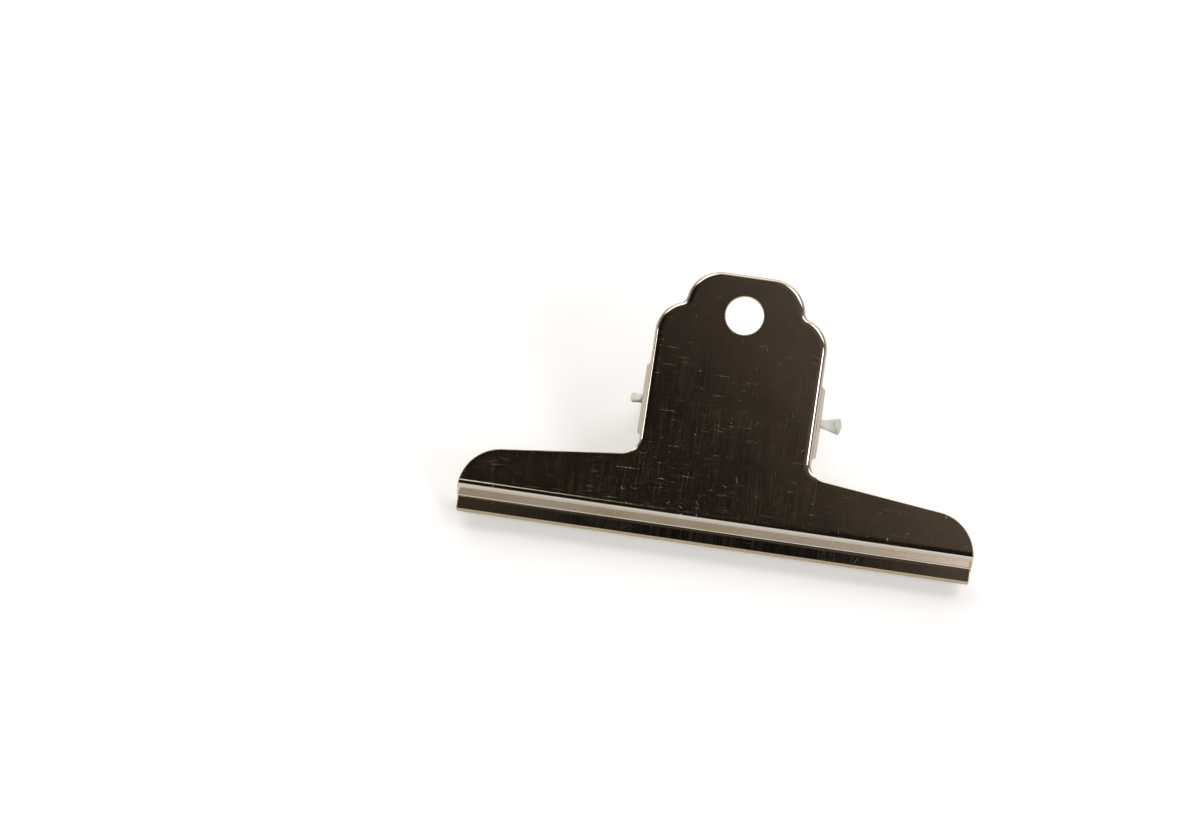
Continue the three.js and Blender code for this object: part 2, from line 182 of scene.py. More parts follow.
# Plate finish: bright nickel with hairlines, short nicks, pits and duller cut edges

plateFinish = {
    "colour": (0.56, 0.515, 0.45),
    "stain": (0.53, 0.475, 0.38),      # yellowed patches
    "edgeColour": (0.60, 0.52, 0.36),
    "grazing": (0.55, 0.50, 0.44),     # tint towards the edge of sight
    "polish": 0.055,                   # roughness where the plate is clean
    "haze": 0.07,                      # haze and the next five are what each mark adds to it
    "hairlineDull": 0.16,
    "nickDull": 0.3,
    "pitDull": 0.07,
    "brushedDull": 0.10,
    "edgeDull": 0.48,
    "hairlineTurns": (8, 47, 83, 121, 158),   # degrees
    "hairlinesPerMm": 3.2,
    "hairlineFiner": 0.22,             # share by which each direction's lines are finer than the last
    "hairlineStretch": 0.028,          # scale along a line as a share of that across it
    "hairlineBend": 0.35,
    "hairlineKept": (0.70, 0.76),      # peaks of the noise that become lines
    "hairlinePatch": 0.16,             # scales are per mm of sheet
    "hairlinePatchKept": (0.45, 0.62),
    "hairlineSeed": 3.7,
    "nickCells": 5.5,                  # mm, places that may hold one nick each
    "nickFiner": 0.6,                  # the second set's cells as a share of the first's
    "nickSeed": 4.3,
    "nickSwing": 6.3,                  # radians
    "nickLength": 0.2,                 # half of the longest, and the next two, as shares of a cell
    "nickEnds": (-0.06, 0.02),
    "nickSides": (0.006, 0.013),
    "nickKept": (0.84, 0.86),          # of all cells
    "pitScale": (0.9, 0.9),
    "pitSize": (0.03, 0.07),
    "cloud": {"scale": (0.055, 0.055), "detail": 4, "roughness": 0.6},
    "cloudStained": (0.45, 0.75),
    "cloudHazy": (0.35, 0.8),
    "fine": {"scale": (1.7, 1.7), "detail": 3, "roughness": 0.65},
    "fineHazy": (0.2, 0.8),
    "brushed": {"scale": (4.0, 0.07), "detail": 3, "roughness": 0.7},
    "brushedSeen": (0.45, 0.75),
    "wave": {"scale": (0.08, 0.08), "detail": 1},
    "rolling": {"scale": (0.35, 3.0), "detail": 2, "turn": 90},   # marks along the cut edges
    "waveHeight": 0.012,               # mm, as all heights and depths
    "hairlineDepth": 0.0016,
    "nickDepth": 0.006,
    "pitDepth": 0.0012,
    "fineHeight": 0.0008,
    "brushedHeight": 0.0022,
    "rollingHeight": 0.03,
}


def onSheet(nodes, scale, turn=0.0):
    # the unrolled sheet's own coordinates in mm, turned and scaled
    sheet = nodes.make("ShaderNodeUVMap", {"uv_map": "sheet"})
    return nodes.make("ShaderNodeMapping", None, {
        "Vector": sheet.outputs[0],
        "Rotation": (0, 0, math.radians(turn)),
        "Scale": (*scale, 1),
    }).outputs[0]


def sheetNoise(nodes, scale, detail, roughness=0.5, turn=0.0):
    return nodes.value("ShaderNodeTexNoise", "Fac", None, {
        "Vector": onSheet(nodes, scale, turn),
        "Scale": 1,
        "Detail": detail,
        "Roughness": roughness,
    })


def hairlines(nodes, values, turn, perMm, seed):
    # long thin streaks: stretched noise cut off near its top
    streak = nodes.value("ShaderNodeTexNoise", "Fac", {"noise_dimensions": "3D"}, {
        "Vector": onSheet(nodes, (perMm * values["hairlineStretch"], perMm), turn),
        "Scale": 1,
        "Detail": 1,
        "Distortion": values["hairlineBend"],
    })
    patch = nodes.value("ShaderNodeTexNoise", "Fac", {"noise_dimensions": "4D"}, {
        "Vector": onSheet(nodes, (values["hairlinePatch"], values["hairlinePatch"])),
        "W": seed,
        "Scale": 1,
        "Detail": 2,
    })
    return streak.band(*values["hairlineKept"]) * patch.band(*values["hairlinePatchKept"])


def nicks(nodes, values, cell, seed):
    # one short straight scratch in some of the cells, each turned its own way
    place = onSheet(nodes, (1 / cell, 1 / cell))
    shifted = nodes.make("ShaderNodeVectorMath", {"operation": "ADD"}, {0: place, 1: (seed, seed, 0)})
    cells = nodes.make("ShaderNodeTexVoronoi", {"voronoi_dimensions": "2D"}, {
        "Vector": shifted.outputs[0],
        "Scale": 1,
    })
    away = nodes.make("ShaderNodeVectorMath", {"operation": "SUBTRACT"},
                      {0: shifted.outputs[0], 1: cells.outputs["Position"]})
    chance = nodes.make("ShaderNodeSeparateColor", None, {0: cells.outputs["Color"]})
    angle = Value(nodes, chance.outputs[0]) * values["nickSwing"]
    turned = nodes.make("ShaderNodeVectorRotate", {"rotation_type": "Z_AXIS"},
                        {"Vector": away.outputs[0], "Angle": angle})
    parts = nodes.make("ShaderNodeSeparateXYZ", None, {0: turned.outputs[0]})
    along = Value(nodes, parts.outputs[0]).size()
    across = Value(nodes, parts.outputs[1]).size()
    length = Value(nodes, chance.outputs[1]) * values["nickLength"]
    chosen = Value(nodes, chance.outputs[2]).band(*values["nickKept"])
    past = (along - length).band(*values["nickEnds"])
    beside = across.band(*values["nickSides"])
    return (1 - past) * (1 - beside) * chosen


def makePlateFinish(values):
    material, nodes = newMaterial("plateNickel")
    lines = None
    for index, turn in enumerate(values["hairlineTurns"]):
        perMm = values["hairlinesPerMm"] * (1 + values["hairlineFiner"] * index)
        layer = hairlines(nodes, values, turn, perMm, index * values["hairlineSeed"])
        lines = layer if lines is None else lines.largest(layer)
    scratched = nicks(nodes, values, values["nickCells"], 0.0)
    smaller = nicks(nodes, values, values["nickCells"] * values["nickFiner"], values["nickSeed"])
    scratched = scratched.largest(smaller)

    pits = nodes.value("ShaderNodeTexVoronoi", "Distance", {"voronoi_dimensions": "2D"},
                       {"Vector": onSheet(nodes, values["pitScale"]), "Scale": 1})
    pitted = 1 - pits.band(*values["pitSize"])
    cloud = sheetNoise(nodes, **values["cloud"])
    fine = sheetNoise(nodes, **values["fine"])
    brushed = sheetNoise(nodes, **values["brushed"])
    wave = sheetNoise(nodes, **values["wave"])
    rolling = sheetNoise(nodes, **values["rolling"])
    cut = nodes.make("ShaderNodeUVMap", {"uv_map": "edge"})
    edge = nodes.value("ShaderNodeSeparateXYZ", 0, None, {0: cut.outputs[0]})

    stained = nodes.blendColour(cloud.band(*values["cloudStained"]), values["colour"], values["stain"])
    colour = nodes.blendColour(edge, stained, values["edgeColour"])
    hazy = cloud.band(*values["cloudHazy"]) * fine.band(*values["fineHazy"])
    roughness = (values["polish"] + values["haze"] * hazy
                 + values["hairlineDull"] * lines
                 + values["nickDull"] * scratched
                 + values["pitDull"] * pitted
                 + values["brushedDull"] * brushed.band(*values["brushedSeen"])
                 + values["edgeDull"] * edge)
    height = (wave * values["waveHeight"]
              - lines * values["hairlineDepth"]
              - scratched * values["nickDepth"]
              - pitted * values["pitDepth"]
              + fine * values["fineHeight"]
              + brushed * values["brushedHeight"]
              + edge * rolling * values["rollingHeight"])
    bump = nodes.make("ShaderNodeBump", None, {"Height": height, "Distance": mm, "Strength": 1.0})
    shader = nodes.make("ShaderNodeBsdfPrincipled", None, {
        "Base Color": colour,
        "Metallic": 1.0,
        "Roughness": roughness,
        "Specular Tint": (*values["grazing"], 1),
        "Normal": bump.outputs[0],
    })
    nodes.make("ShaderNodeOutputMaterial", None, {"Surface": shader.outputs[0]})
    return material


# Pin and wire finish: duller plate with drawing marks and grime

pinFinish = {
    "colour": (0.96, 0.98, 0.93),
    "dark": (0.84, 0.85, 0.78),
    "polish": 0.86,
    "drawnDull": 0.12,
    "drawnScale": (90, 3500, 3500),    # per metre
}

wireFinish = {
    "colour": (0.60, 0.60, 0.56),
    "dark": (0.42, 0.41, 0.36),
    "polish": 0.26,
    "drawnDull": 0.14,
    "drawnScale": (900, 900, 900),
}

wear = {                               # on pin and wire alike
    "drawnHeight": 0.012,              # mm
    "grimeScale": 650,
    "grimeDark": (0.5, 0.78),
    "grimeHazy": (0.5, 0.8),
    "grimeDull": 0.12,
}


def makeWireFinish(name, values):
    material, nodes = newMaterial(name)
    place = nodes.make("ShaderNodeTexCoord").outputs["Object"]
    drawn = nodes.make("ShaderNodeMapping", None, {"Vector": place, "Scale": values["drawnScale"]})
    marks = nodes.value("ShaderNodeTexNoise", "Fac", None, {
        "Vector": drawn.outputs[0],
        "Scale": 1,
        "Detail": 4,
        "Roughness": 0.7,
    })
    grime = nodes.value("ShaderNodeTexNoise", "Fac", None, {
        "Vector": place,
        "Scale": wear["grimeScale"],
        "Detail": 3,
    })
    colour = nodes.blendColour(grime.band(*wear["grimeDark"]), values["colour"], values["dark"])
    roughness = (values["polish"] + values["drawnDull"] * marks
                 + wear["grimeDull"] * grime.band(*wear["grimeHazy"]))
    height = marks * wear["drawnHeight"]
    bump = nodes.make("ShaderNodeBump", None, {"Height": height, "Distance": mm, "Strength": 1.0})
    shader = nodes.make("ShaderNodeBsdfPrincipled", None, {
        "Base Color": colour,
        "Metallic": 1.0,
        "Roughness": roughness,
        "Normal": bump.outputs[0],
    })
    nodes.make("ShaderNodeOutputMaterial", None, {"Surface": shader.outputs[0]})
    return material


# The pressed plates

plate = {                              # mm and degrees
    "sheet": 0.8,
    "lean": 17.0,                      # from the paper plane
    "foldOffset": 5.3,                 # fold line to paper plane
    "pinReach": 30.6,
    "height": 59.7,
    "tongueWidth": 41.7,
    "wingRootHeight": 13.25,
    "wingTipRadius": 10.5,
    "wingTipDrop": 0.8,
    "rootFillet": 4.2,
    "shoulderRadius": 7.8,
    "shoulderHeight": 43.6,
    "crownRadius": 8.4,
    "crownFlat": 12.2,
    "notchRadius": 1.9,
    "holeRadius": 4.6,
    "holeDrop": 9.9,
    "entryRadius": 3.6,                # the fold starts gently and ends tight
    "entryTurn": 17.5,
    "foldRadius": 0.9,
    "stepFall": 1.35,
    "stepRadius": 0.6,
    "lipLength": 3.5,
    "lipInset": 0.3,
    "lipGap": 0.3,
    "lipCorner": 0.5,
    "rimRadius": 1.4,
    "rimDepth": 2.9,
    "earRadius": 6.1,
    "earTongueRoot": 7.9,
    "earRootDepth": 5.2,
    "earBlend": 2.8,
    "joggleStart": 4.0,
    "joggleEnd": 6.4,
    "earClearance": 0.12,
    "pinRadius": 1.0,
    "pinClearance": 0.08,
    "edgeRound": 0.22,                 # rounding of the cut edges
}

grain = {                              # fineness of the plates' mesh
    "arcStep": math.radians(3),
    "bendRows": 10,
    "wallRows": 20,
    "foldRows": 12,
    "edgeRows": 4,
    "boreSides": 72,
    "margin": 0.42,                    # mm between the flat sheet's mesh and any bend or edge
    "rowRoom": 0.06,                   # least mm for the rows of a bend, and of the wall below it
    "joggleRow": 3,                    # the wall's first row that follows the joggle
    "crispAngle": 35,                  # degrees; sharper edges aren't shaded smooth
    "lineSlack": 1e-4,                 # mm, for points on a line along the jaw
    "pointSlack": 1e-5,                # mm, for points that are the same
    "straightStep": 3.0,               # mm between stations on a straight edge
    "earStep": 0.35,
}

lean = math.radians(plate["lean"])
jawHalf = (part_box("front_plate")[1].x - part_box("front_plate")[0].x) / 2 / mm
tongueHalf = plate["tongueWidth"] / 2
pinDepth = hinge["pos_m"][2] / mm


def fromPaperPlane(reach, above):
    # from reach behind the mouth and height above the paper plane to a plate's (up, depth)
    rise = above - plate["foldOffset"]
    return (reach * math.cos(lean) + rise * math.sin(lean), reach * math.sin(lean) - rise * math.cos(lean))


pinHeight = fromPaperPlane(plate["pinReach"], 0)[0]
stepCorner = fromPaperPlane(-plate["stepFall"], plate["lipGap"] / 2 + plate["sheet"])
foldTurn = math.atan2(stepCorner[1], -stepCorner[0])
stepTurn = foldTurn + lean
entryTurn = math.radians(plate["entryTurn"])
entryReach = plate["entryRadius"] * math.tan(entryTurn / 2)
tightReach = plate["foldRadius"] * math.tan((foldTurn - entryTurn) / 2)
foldStart = entryReach + (entryReach + tightReach) * math.sin(foldTurn - entryTurn) / math.sin(foldTurn)
foldEnd = tightReach + (entryReach + tightReach) * math.sin(entryTurn) / math.sin(foldTurn)
entryRun = plate["entryRadius"] * entryTurn
foldRun = entryRun + plate["foldRadius"] * (foldTurn - entryTurn)
stepReach = plate["stepRadius"] * math.tan(stepTurn / 2)
stepRun = math.hypot(*stepCorner) - foldEnd - stepReach
bendRun = plate["stepRadius"] * stepTurn
lipRun = plate["lipLength"] - stepReach
sheetEnd = foldStart - foldRun - stepRun - bendRun - lipRun


def alongSheet(v, inwards):
    # from a point of the unrolled sheet, and how far it is below the outer face, to (up, depth)
    run = foldStart - v
    entry = np.clip(run, 0, entryRun) / plate["entryRadius"]
    tight = np.clip(run - entryRun, 0, foldRun - entryRun) / plate["foldRadius"]
    step = np.clip(run - foldRun, 0, stepRun)
    back = np.clip(run - foldRun - stepRun, 0, bendRun) / plate["stepRadius"]
    lip = np.maximum(run - foldRun - stepRun - bendRun, 0)
    turn = entry + tight - back
    up = foldStart - np.minimum(run, 0) - plate["entryRadius"] * np.sin(entry) - step * math.cos(foldTurn)
    up = up - plate["foldRadius"] * (np.sin(entryTurn + tight) - math.sin(entryTurn))
    up = up - plate["stepRadius"] * (math.sin(foldTurn) - np.sin(foldTurn - back))
    up = up - lip * math.cos(lean)
    depth = plate["entryRadius"] * (1 - np.cos(entry)) + step * math.sin(foldTurn)
    depth = depth + plate["foldRadius"] * (math.cos(entryTurn) - np.cos(entryTurn + tight))
    depth = depth + plate["stepRadius"] * (np.cos(foldTurn - back) - math.cos(foldTurn))
    depth = depth - lip * math.sin(lean)
    return up + inwards * np.sin(turn), depth + inwards * np.cos(turn)


def jawLines():
    # lines along the jaw that the flat mesh needs at each bend
    entry = np.linspace(foldStart, foldStart - entryRun, grain["foldRows"] + 1)
    fold = [*entry, *np.linspace(entry[-1], foldStart - foldRun, grain["foldRows"] + 1)[1:]]
    bend = np.linspace(fold[-1] - stepRun, fold[-1] - stepRun - bendRun, grain["foldRows"] + 1)
    margin = grain["margin"]
    return [fold[0] + margin, *fold, fold[-1] - margin, bend[0] + margin, *bend, bend[-1] - margin]


def eased(share):
    # 0 to 1 with a soft start and end
    return share * share * (3 - 2 * share)


def angleTo(start, end):
    return math.atan2(end[1] - start[1], end[0] - start[0])


def touchPoint(start, centre, radius, side):
    # where a line from start touches a circle
    angle = angleTo(centre, start) + side * math.acos(radius / math.dist(start, centre))
    return (centre[0] + radius * math.cos(angle), centre[1] + radius * math.sin(angle))


def arcStations(centre, radius, start, end, side, bend=0.0, depth=0.0):
    # a station is x, v, the way out of the outline in x and in v, the rim's bend and its edge's depth
    count = max(2, math.ceil(abs(end - start) / grain["arcStep"]))
    stations = []
    for index in range(count + 1):
        angle = start + (end - start) * index / count
        x, v = math.cos(angle), math.sin(angle)
        stations.append((centre[0] + radius * x, centre[1] + radius * v, side * x, side * v, bend, depth))
    return stations


def lineStations(start, end, normal, step, bend=0.0, depth=0.0):
    # stations evenly spaced between the two ends, without them
    count = max(1, math.ceil(math.dist(start, end) / step))
    return [(start[0] + (end[0] - start[0]) * i / count, start[1] + (end[1] - start[1]) * i / count,
             *normal, bend, depth) for i in range(1, count)]


def jawEndStations():
    # lip edge from the middle, round its corner and up the jaw's end
    lipHalf = jawHalf - plate["lipInset"]
    corner = plate["lipCorner"]
    stations = [(0.0, sheetEnd, 0.0, -1.0, 0.0, 0.0)]
    stations += lineStations((0, sheetEnd), (lipHalf - corner, sheetEnd), (0, -1), grain["straightStep"])
    stations += arcStations((lipHalf - corner, sheetEnd + corner), corner, -math.pi / 2, 0, 1)
    cornerLine = foldStart - foldRun - stepRun - bendRun / 2
    for v in sorted(jawLines()):
        if sheetEnd + corner < v < 0:
            share = min(max((v - cornerLine) / plate["lipInset"], 0), 1)
            stations.append((lipHalf + plate["lipInset"] * share, v, 1.0, 0.0, 0.0, 0.0))
    return stations


def wingStations():
    # wing tip's arc, the straight edge, and the fillet in which the rim begins
    radius, drop = plate["wingTipRadius"], plate["wingTipDrop"]
    tip = (jawHalf - math.sqrt(radius ** 2 - drop ** 2), -drop)
    root = (tongueHalf, plate["wingRootHeight"])
    touch = touchPoint(root, tip, radius, -1)
    lines = [v for v in sorted(jawLines()) if v >= 0]
    stations = []
    for v in lines:
        angle = math.asin((v + drop) / (radius - grain["margin"]))
        stations.append((tip[0] + radius * math.cos(angle), tip[1] + radius * math.sin(angle),
                         math.cos(angle), math.sin(angle), 0.0, 0.0))
    stations += arcStations(tip, radius, angle, angleTo(tip, touch), 1)[1:]
    slope = angleTo(root, touch)
    reach = plate["rootFillet"] / math.tan((math.pi / 2 - slope) / 2)
    centre = (tongueHalf + plate["rootFillet"], plate["wingRootHeight"] + reach)
    fillet = arcStations(centre, plate["rootFillet"], slope - math.pi / 2, -math.pi, -1)
    stations += lineStations(touch, fillet[0][:2], stations[-1][2:4], grain["straightStep"])
    for index, station in enumerate(fillet):
        bend = math.pi / 2 * (index / (len(fillet) - 1))
        stations.append((*station[:4], bend, plate["rimRadius"] * (1 - math.cos(bend))))
    return stations


def earStations(start):
    # the tongue's straight side: rim depth grows into the ear and falls back behind it
    pin = (pinHeight, pinDepth)
    jawRoot = (start, plate["rimRadius"])
    tongueRoot = (pinHeight + plate["earTongueRoot"], plate["earRootDepth"])
    jawTouch = touchPoint(jawRoot, pin, plate["earRadius"], -1)
    tongueTouch = touchPoint(tongueRoot, pin, plate["earRadius"], 1)
    edge = [point[:2] for point in lineStations(jawRoot, jawTouch, (0, 0), grain["earStep"])]
    edge += [point[:2] for point in arcStations(
        pin, plate["earRadius"], angleTo(pin, jawTouch), angleTo(pin, tongueTouch), 1)]
    edge += [point[:2] for point in lineStations(tongueTouch, tongueRoot, (0, 0), grain["earStep"])]
    rows = grain["bendRows"]
    for row in range(rows + 1):
        share = row / rows
        depth = plate["rimDepth"] + (plate["earRootDepth"] - plate["rimDepth"]) * (1 - share) ** 2
        edge.append((tongueRoot[0] + plate["earBlend"] * share, depth))
    stations = [(tongueHalf, v, 1.0, 0.0, math.pi / 2, depth) for v, depth in edge]
    last = edge[-1]
    stations += lineStations((tongueHalf, last[0]), (tongueHalf, plate["shoulderHeight"]), (1, 0),
                             grain["straightStep"] / 2, math.pi / 2, plate["rimDepth"])
    return stations


def lobeStations():
    # the tongue's scalloped end: shoulder, notch and crown, to the middle of the top
    shoulder = (tongueHalf - plate["shoulderRadius"], plate["shoulderHeight"])
    crown = (plate["crownFlat"] / 2, plate["height"] - plate["crownRadius"])
    apart = math.dist(shoulder, crown)
    crownReach = plate["crownRadius"] + plate["notchRadius"]
    shoulderReach = plate["shoulderRadius"] + plate["notchRadius"]
    cosine = (apart ** 2 + crownReach ** 2 - shoulderReach ** 2) / (2 * apart * crownReach)
    angle = angleTo(crown, shoulder) + math.acos(cosine)
    notch = (crown[0] + crownReach * math.cos(angle), crown[1] + crownReach * math.sin(angle))
    rim = {"bend": math.pi / 2, "depth": plate["rimDepth"]}
    notchStart, notchEnd = angleTo(notch, shoulder), angleTo(notch, crown)
    if notchEnd > notchStart:
        notchEnd -= 2 * math.pi
    stations = arcStations(shoulder, plate["shoulderRadius"], 0, angleTo(shoulder, notch), 1, **rim)
    stations += arcStations(notch, plate["notchRadius"], notchStart, notchEnd, -1, **rim)[1:]
    stations += arcStations(crown, plate["crownRadius"], angle, math.pi / 2, 1, **rim)[1:]
    top = plate["height"]
    stations += lineStations((crown[0], top), (0, top), (0, 1), grain["straightStep"], **rim)
    stations.append((0.0, top, 0.0, 1.0, math.pi / 2, plate["rimDepth"]))
    return stations


def plateStations():
    right = jawEndStations() + wingStations()
    right += earStations(right[-1][1]) + lobeStations()
    left = [(-x, v, -outX, outV, bend, depth) for x, v, outX, outV, bend, depth in right[1:-1]]
    return np.array(right + left[::-1])


def edgeBand(stations, bendRows, wallRows):
    # for each station a strip across the edge: outer face, rounded cut edge, inner face back
    sheet, edgeRound, radius = plate["sheet"], plate["edgeRound"], plate["rimRadius"]
    joggle = np.linspace(plate["joggleStart"], plate["joggleEnd"], wallRows // 2) - radius
    joggled = slice(grain["joggleRow"], grain["joggleRow"] + len(joggle))
    places, depths, unrolled, onEdge = [], [], [], []
    for x, v, outX, outV, bend, depth in stations:
        normal = np.array((outX, outV))
        base = np.array((x, v)) - normal * radius * math.sin(bend)
        wall = max(depth - radius * (1 - math.cos(bend)), 0)
        last = radius * bend + wall - edgeRound
        flatEnd = min(0, last - 2 * grain["rowRoom"])
        bendEnd = min(radius * bend, last - grain["rowRoom"])
        rows = np.linspace(0, last - bendEnd, wallRows + 1)
        rows[joggled] = np.minimum(joggle, rows[joggled])
        run = np.concatenate(([-grain["margin"]], np.linspace(flatEnd, bendEnd, bendRows + 1),
                              bendEnd + rows[1:]))
        turn = np.clip(run, 0, radius * bend) / radius
        beyond = np.maximum(run - radius * bend, 0)
        out = np.minimum(run, 0) + radius * np.sin(turn) + beyond * math.cos(bend)
        down = radius * (1 - np.cos(turn)) + beyond * math.sin(bend)
        along = np.array((math.cos(turn[-1]), math.sin(turn[-1])))
        face = np.array((math.sin(turn[-1]), -math.cos(turn[-1])))
        end = np.array((out[-1], down[-1]))
        quarter = np.linspace(0, math.pi / 2, grain["edgeRows"] + 1)
        near, far = end - edgeRound * face, end - (sheet - edgeRound) * face
        rounds = [near + edgeRound * (face * math.cos(angle) + along * math.sin(angle))
                  for angle in quarter[1:]]
        rounds += [far + edgeRound * (along * math.cos(angle) - face * math.sin(angle))
                   for angle in quarter[:-1]]
        rounds = np.array(rounds)
        outs = np.concatenate((out, rounds[:, 0], (out - sheet * np.sin(turn))[::-1]))
        downs = np.concatenate((down, rounds[:, 1], (down + sheet * np.cos(turn))[::-1]))
        runs = np.concatenate((run, np.full(len(rounds), run[-1] + edgeRound), run[::-1]))
        places.append(base + normal * outs[:, None])
        depths.append(downs)
        unrolled.append(base + normal * runs[:, None])
        onEdge.append([0.0] * len(run) + [1.0] * len(rounds) + [0.0] * len(run))
    return np.array(places), np.array(depths), np.array(unrolled), np.array(onEdge)


def sheetPoints(places, depths, step):
    # plate coordinates of sheet points; ears step outwards between the joggle's depths
    share = np.clip((depths - plate["joggleStart"]) / (plate["joggleEnd"] - plate["joggleStart"]), 0, 1)
    up, depth = alongSheet(places[..., 1], depths)
    rim = places[..., 1] > plate["wingRootHeight"] - plate["rootFillet"]
    x = places[..., 0] + np.where(rim, np.sign(places[..., 0]) * step * eased(share), 0)
    return np.stack((x, up - pinHeight, depth - pinDepth), axis=-1)


def fillSheet(loop, hole):
    # triangles of the flat sheet between the edge strips, with lines along the jaw's bends
    points = [Vector(point) for point in np.concatenate((loop, hole))]
    count, ring = len(loop), len(hole)
    edges = [(i, (i + 1) % count) for i in range(count)]
    edges += [(count + i, count + (i + 1) % ring) for i in range(ring)]
    for line in jawLines():
        level = [i for i in range(count) if abs(loop[i][1] - line) < grain["lineSlack"]]
        edges.append((min(level, key=lambda i: loop[i][0]), max(level, key=lambda i: loop[i][0])))
    made = delaunay_2d_cdt(points, edges, [], 1, grain["pointSlack"])
    if len(made[0]) != len(points):
        raise ValueError("the flat sheet's mesh gained or lost points")
    # a triangle between three points of the hole's ring fills the hole
    filled = ([made[3][i][0] for i in triangle] for triangle in made[2])
    return [triangle for triangle in filled if min(triangle) < count]


def plateMesh(name, step):
    stations = plateStations()
    centre = (0, plate["height"] - plate["holeDrop"])
    ring = arcStations(centre, plate["holeRadius"], 0, 2 * math.pi, -1)[:-1]
    bands = [edgeBand(stations, grain["bendRows"], grain["wallRows"]), edgeBand(ring, 1, 1)]
    points, sheetUv, edgeUv, faces, starts = [], [], [], [], []
    for places, depths, unrolled, onEdge in bands:
        start, (count, width) = len(points), depths.shape
        starts.append((start, count, width))
        points.extend(sheetPoints(places, depths, step).reshape(-1, 3))
        sheetUv.extend(unrolled.reshape(-1, 2))
        edgeUv.extend(onEdge.reshape(-1))
        for i in range(count):
            near, far = start + i * width, start + (i + 1) % count * width
            faces += [(near + j, far + j, far + j + 1, near + j + 1) for j in range(width - 1)]
    outer, inner = [], []
    for start, count, width in starts:
        outer += [start + i * width for i in range(count)]
        inner += [start + i * width + width - 1 for i in range(count)]
    loops = [places[:, 0] for places, _, _, _ in bands]
    for triangle in fillSheet(loops[0], loops[1]):
        faces.append([outer[i] for i in triangle])
        faces.append([inner[i] for i in reversed(triangle)])
    mesh = bpy.data.meshes.new(name)
    mesh.from_pydata([tuple(point) for point in points], [], faces)
    corners = np.zeros(len(mesh.loops), int)
    mesh.loops.foreach_get("vertex_index", corners)
    sheetLayer = mesh.uv_layers.new(name="sheet")
    sheetLayer.uv.foreach_set("vector", np.array(sheetUv)[corners].astype(np.float32).ravel())
    edgeLayer = mesh.uv_layers.new(name="edge")
    edges = np.stack((np.array(edgeUv), np.zeros(len(edgeUv))), axis=-1)
    edgeLayer.uv.foreach_set("vector", edges[corners].astype(np.float32).ravel())
    return mesh


def smoothByAngle(mesh, limit):
    # smooth shading, with edges sharper than the limit in degrees left crisp, and faces outwards
    work = bmesh.new()
    work.from_mesh(mesh)
    bmesh.ops.recalc_face_normals(work, faces=work.faces)
    for face in work.faces:
        face.smooth = True
    for edge in work.edges:
        edge.smooth = len(edge.link_faces) == 2 and edge.calc_face_angle(0) < math.radians(limit)
    work.to_mesh(mesh)
    work.free()


def linked(name, mesh):
    obj = bpy.data.objects.new(name, mesh)
    bpy.context.scene.collection.objects.link(obj)
    return obj


def evaluatedMesh(obj, name):
    # the plain mesh that the object's modifiers give
    bpy.context.view_layer.update()
    graph = bpy.context.evaluated_depsgraph_get()
    mesh = bpy.data.meshes.new_from_object(obj.evaluated_get(graph), depsgraph=graph)
    mesh.name = name
    obj.modifiers.clear()
    return mesh


def boreCutter():
    # a cylinder about the pin's axis, well past both ears
    cutter = bmesh.new()
    radius = plate["pinRadius"] + plate["pinClearance"]
    length = 4 * tongueHalf
    bmesh.ops.create_cone(cutter, cap_ends=True, segments=grain["boreSides"],
                          radius1=radius, radius2=radius, depth=length)
    bmesh.ops.rotate(cutter, verts=cutter.verts, matrix=Matrix.Rotation(math.pi / 2, 3, "Y"))
    mesh = bpy.data.meshes.new("boreCutter")
    cutter.to_mesh(mesh)
    cutter.free()
    return linked("boreCutter", mesh)


def addPlate(name, node, body, step, turn, finish):
    mesh = plateMesh(name, step)
    smoothByAngle(mesh, grain["crispAngle"])
    obj = linked(name, mesh)
    cutter = boreCutter()
    bores = obj.modifiers.new("bores", "BOOLEAN")
    bores.operation = "DIFFERENCE"
    bores.solver = "EXACT"
    bores.object = cutter
    obj.data = evaluatedMesh(obj, name)
    bpy.data.objects.remove(cutter)
    obj.data.transform(Matrix.Translation((0, 0, pinDepth)) @ turn)
    obj.data.transform(Matrix.Scale(mm, 4))
    smoothByAngle(obj.data, grain["crispAngle"])
    obj.data.materials.clear()
    obj.data.materials.append(finish)
    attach(obj, body)
    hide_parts(node)
    print("stage:", name, len(obj.data.polygons), "faces")


# Pivot pin: a round shaft whose ends are squashed into flat fans

pin = {                                # mm and degrees
    "radius": plate["pinRadius"],
    "fanGap": 0.25,
    "fanLength": {"left": 3.0, "right": 4.9},
    "fanTurn": {"left": -21, "right": 36},
    "fanSpread": {"left": 0.5, "right": 1.0},   # under 1: widens soon after the neck
    "fanWidth": 4.2,
    "fanThickness": 0.9,
    "fanBulge": 0.6,
    "thinning": 0.45,
    "squareness": 0.62,
    "tipRound": 0.16,
    "sides": 72,
    "rows": 26,
    "tipRows": 4,
    "crispAngle": 40,                  # degrees
}


def pinRing(x, halfWidth, halfThickness, turn, bulge):
    squareness = 1 - pin["squareness"] * (1 - halfThickness / halfWidth)
    ring = []
    for side in range(pin["sides"]):
        angle = 2 * math.pi * side / pin["sides"]
        across = halfWidth * math.copysign(abs(math.cos(angle)) ** squareness, math.cos(angle))
        through = halfThickness * math.copysign(abs(math.sin(angle)) ** squareness, math.sin(angle))
        push = bulge * (1 - (across / halfWidth) ** 2)
        ring.append((x + math.copysign(push, x),
                     across * math.cos(turn) - through * math.sin(turn),
                     across * math.sin(turn) + through * math.cos(turn)))
    return ring


